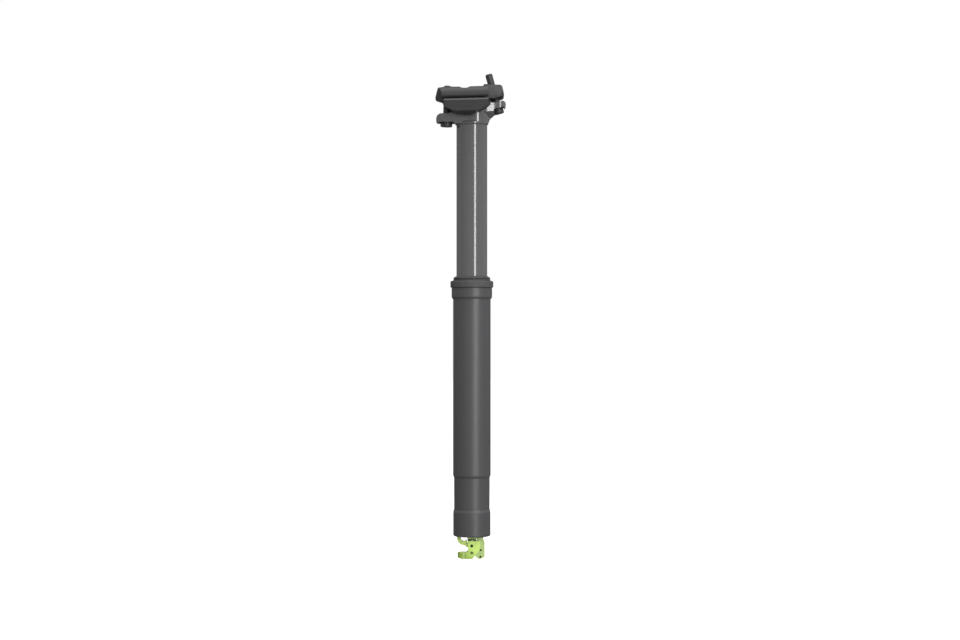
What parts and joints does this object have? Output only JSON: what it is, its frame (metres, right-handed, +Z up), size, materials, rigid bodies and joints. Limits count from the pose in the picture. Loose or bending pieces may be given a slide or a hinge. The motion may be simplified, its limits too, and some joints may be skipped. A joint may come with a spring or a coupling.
{
  "type": "dropper seatpost",
  "caption": "Telescoping dropper seatpost with a bolted saddle clamp, a seal collar and a cable-worked release lever at its foot.",
  "frame": {"origin": "on the lower tube's axis, where its clamped wall meets the collar", "axes": "+Z up the post towards the saddle, +X to the back of the bicycle, +Y to the bicycle's right"},
  "size_m": [0.0592, 0.056, 0.4087],
  "materials": {
    "black_anodised": "satin black anodised",
    "gloss_black_anodised": "gloss black anodised",
    "forged_black": "black anodised forging",
    "grey_anodised": "dark anodised",
    "turned_aluminium": "turned",
    "seal_rubber": "matte",
    "bushing_polymer": "matte",
    "key_brass": "plain",
    "bright_steel": "ground",
    "dark_steel": "blackened",
    "green_anodised": "lime green anodised"
  },
  "bodies": {
    "lower": {"outer_tube": "black_anodised", "collar": "black_anodised", "wiper_seal": "seal_rubber", "upper_bushing": "bushing_polymer", "bottom_cap": "black_anodised", "cartridge_rod": "bright_steel", "piston": "turned_aluminium", "rod_nut": "green_anodised", "actuator_mount": "green_anodised", "set_screws": "dark_steel", "actuator_bracket": "green_anodised", "pivot_pin": "dark_steel", "bracket_pin": "dark_steel"},
    "lever": {"release_lever": "green_anodised"},
    "pin": {"release_pin": "bright_steel"},
    "upper": {"stanchion": "gloss_black_anodised", "saddle_head": "gloss_black_anodised", "cartridge_cylinder": "grey_anodised", "cylinder_plug": "turned_aluminium", "rod_gland": "turned_aluminium", "cartridge_collar": "turned_aluminium", "lower_bushing": "bushing_polymer", "guide_keys": "key_brass"},
    "clamp": {"lower_cradle": "forged_black", "upper_clamp": "forged_black"},
    "front_screw": {"front_bolt": "dark_steel", "front_washer": "grey_anodised"},
    "rear_screw": {"rear_bolt": "dark_steel", "rear_washer": "grey_anodised"},
    "front_trunnion": {"front_nut": "grey_anodised"},
    "rear_trunnion": {"rear_nut": "grey_anodised"}
  },
  "joints": [
    {"name": "post_slide", "type": "slide", "parent": "lower", "child": "upper", "axis": [0, 0, -1], "range_m": [0, 0.125]},
    {"name": "saddle_tilt", "type": "hinge", "parent": "upper", "child": "clamp", "pos_m": [-0.0051, 0, 0.1831], "axis": [0, -1, 0], "range_deg": [-3, 5]},
    {"name": "lever_pivot", "type": "hinge", "parent": "lower", "child": "lever", "pos_m": [-0.0001, 0, -0.2076], "axis": [0, -1, 0], "range_deg": [0, 22]},
    {"name": "pin_slide", "type": "slide", "parent": "lower", "child": "pin", "axis": [0, 0, 1], "range_m": [0, 0.00111], "stiffness_N_per_m": 2000, "springref_m": -0.001},
    {"name": "front_bolt_swing", "type": "hinge", "parent": "upper", "child": "front_screw", "pos_m": [-0.02155, 0, 0.1435], "axis": [0, -1, 0], "range_deg": [-2.2, 1.8]},
    {"name": "rear_bolt_swing", "type": "hinge", "parent": "upper", "child": "rear_screw", "pos_m": [0.0235, 0, 0.1545], "axis": [0, -1, 0], "range_deg": [-4.3, 3.2]},
    {"name": "front_nut_turn", "type": "hinge", "parent": "clamp", "child": "front_trunnion", "pos_m": [-0.02073, 0, 0.17249], "axis": [0, -1, 0], "range_deg": [-7.4, 5.4]},
    {"name": "rear_nut_turn", "type": "hinge", "parent": "clamp", "child": "rear_trunnion", "pos_m": [0.01836, 0, 0.17351], "axis": [0, -1, 0], "range_deg": [-9.4, 6.8]}
  ],
  "couplings": [
    {"joint": "lever_pivot", "follows": "pin_slide", "rad_per_m": 344.8},
    {"joint": "front_bolt_swing", "follows": "saddle_tilt", "ratio": -0.4},
    {"joint": "rear_bolt_swing", "follows": "saddle_tilt", "ratio": -0.74},
    {"joint": "front_nut_turn", "follows": "saddle_tilt", "ratio": -1.4},
    {"joint": "rear_nut_turn", "follows": "saddle_tilt", "ratio": -1.74}
  ]
}
